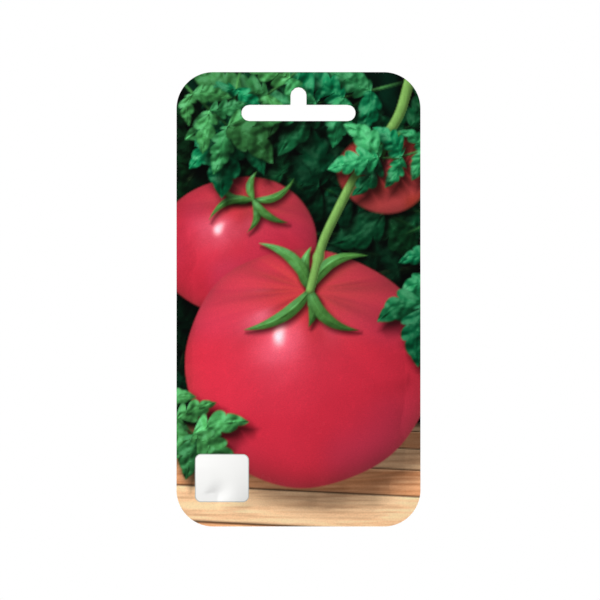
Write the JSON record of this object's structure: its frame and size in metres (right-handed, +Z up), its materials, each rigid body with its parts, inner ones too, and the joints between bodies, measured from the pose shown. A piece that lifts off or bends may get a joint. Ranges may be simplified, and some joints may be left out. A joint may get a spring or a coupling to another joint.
{
  "type": "seed packet",
  "caption": "Flat printed paper packet, sealed round a shallow pocket of loose seeds, with a T-shaped slot through its rounded head so that it hangs on a display hook.",
  "frame": {"origin": "where a display hook bears: the middle of the top of the slot's notch, halfway between the two sheets", "axes": "+Z up the packet as it hangs, along its height; +X across its width, to the right seen from the front; the printed front faces -Y and the back faces +Y"},
  "size_m": [0.08, 0.0042, 0.149],
  "materials": {
    "front_print": "glossy coated paper with a full-bleed colour print",
    "back_print": "satin coated paper with a pale print",
    "seed_coat": "dry tan seed coat, felted with fine hairs"
  },
  "bodies": {
    "root": {"front_sheet": "front_print", "back_sheet": "back_print", "seed_01": "seed_coat", "seed_02": "seed_coat", "seed_03": "seed_coat", "seed_04": "seed_coat", "seed_05": "seed_coat", "seed_06": "seed_coat", "seed_07": "seed_coat", "seed_08": "seed_coat", "seed_09": "seed_coat", "seed_10": "seed_coat", "seed_11": "seed_coat", "seed_12": "seed_coat", "seed_13": "seed_coat", "seed_14": "seed_coat", "seed_15": "seed_coat", "seed_16": "seed_coat", "seed_17": "seed_coat", "seed_18": "seed_coat", "seed_19": "seed_coat", "seed_20": "seed_coat"}
  },
  "joints": []
}
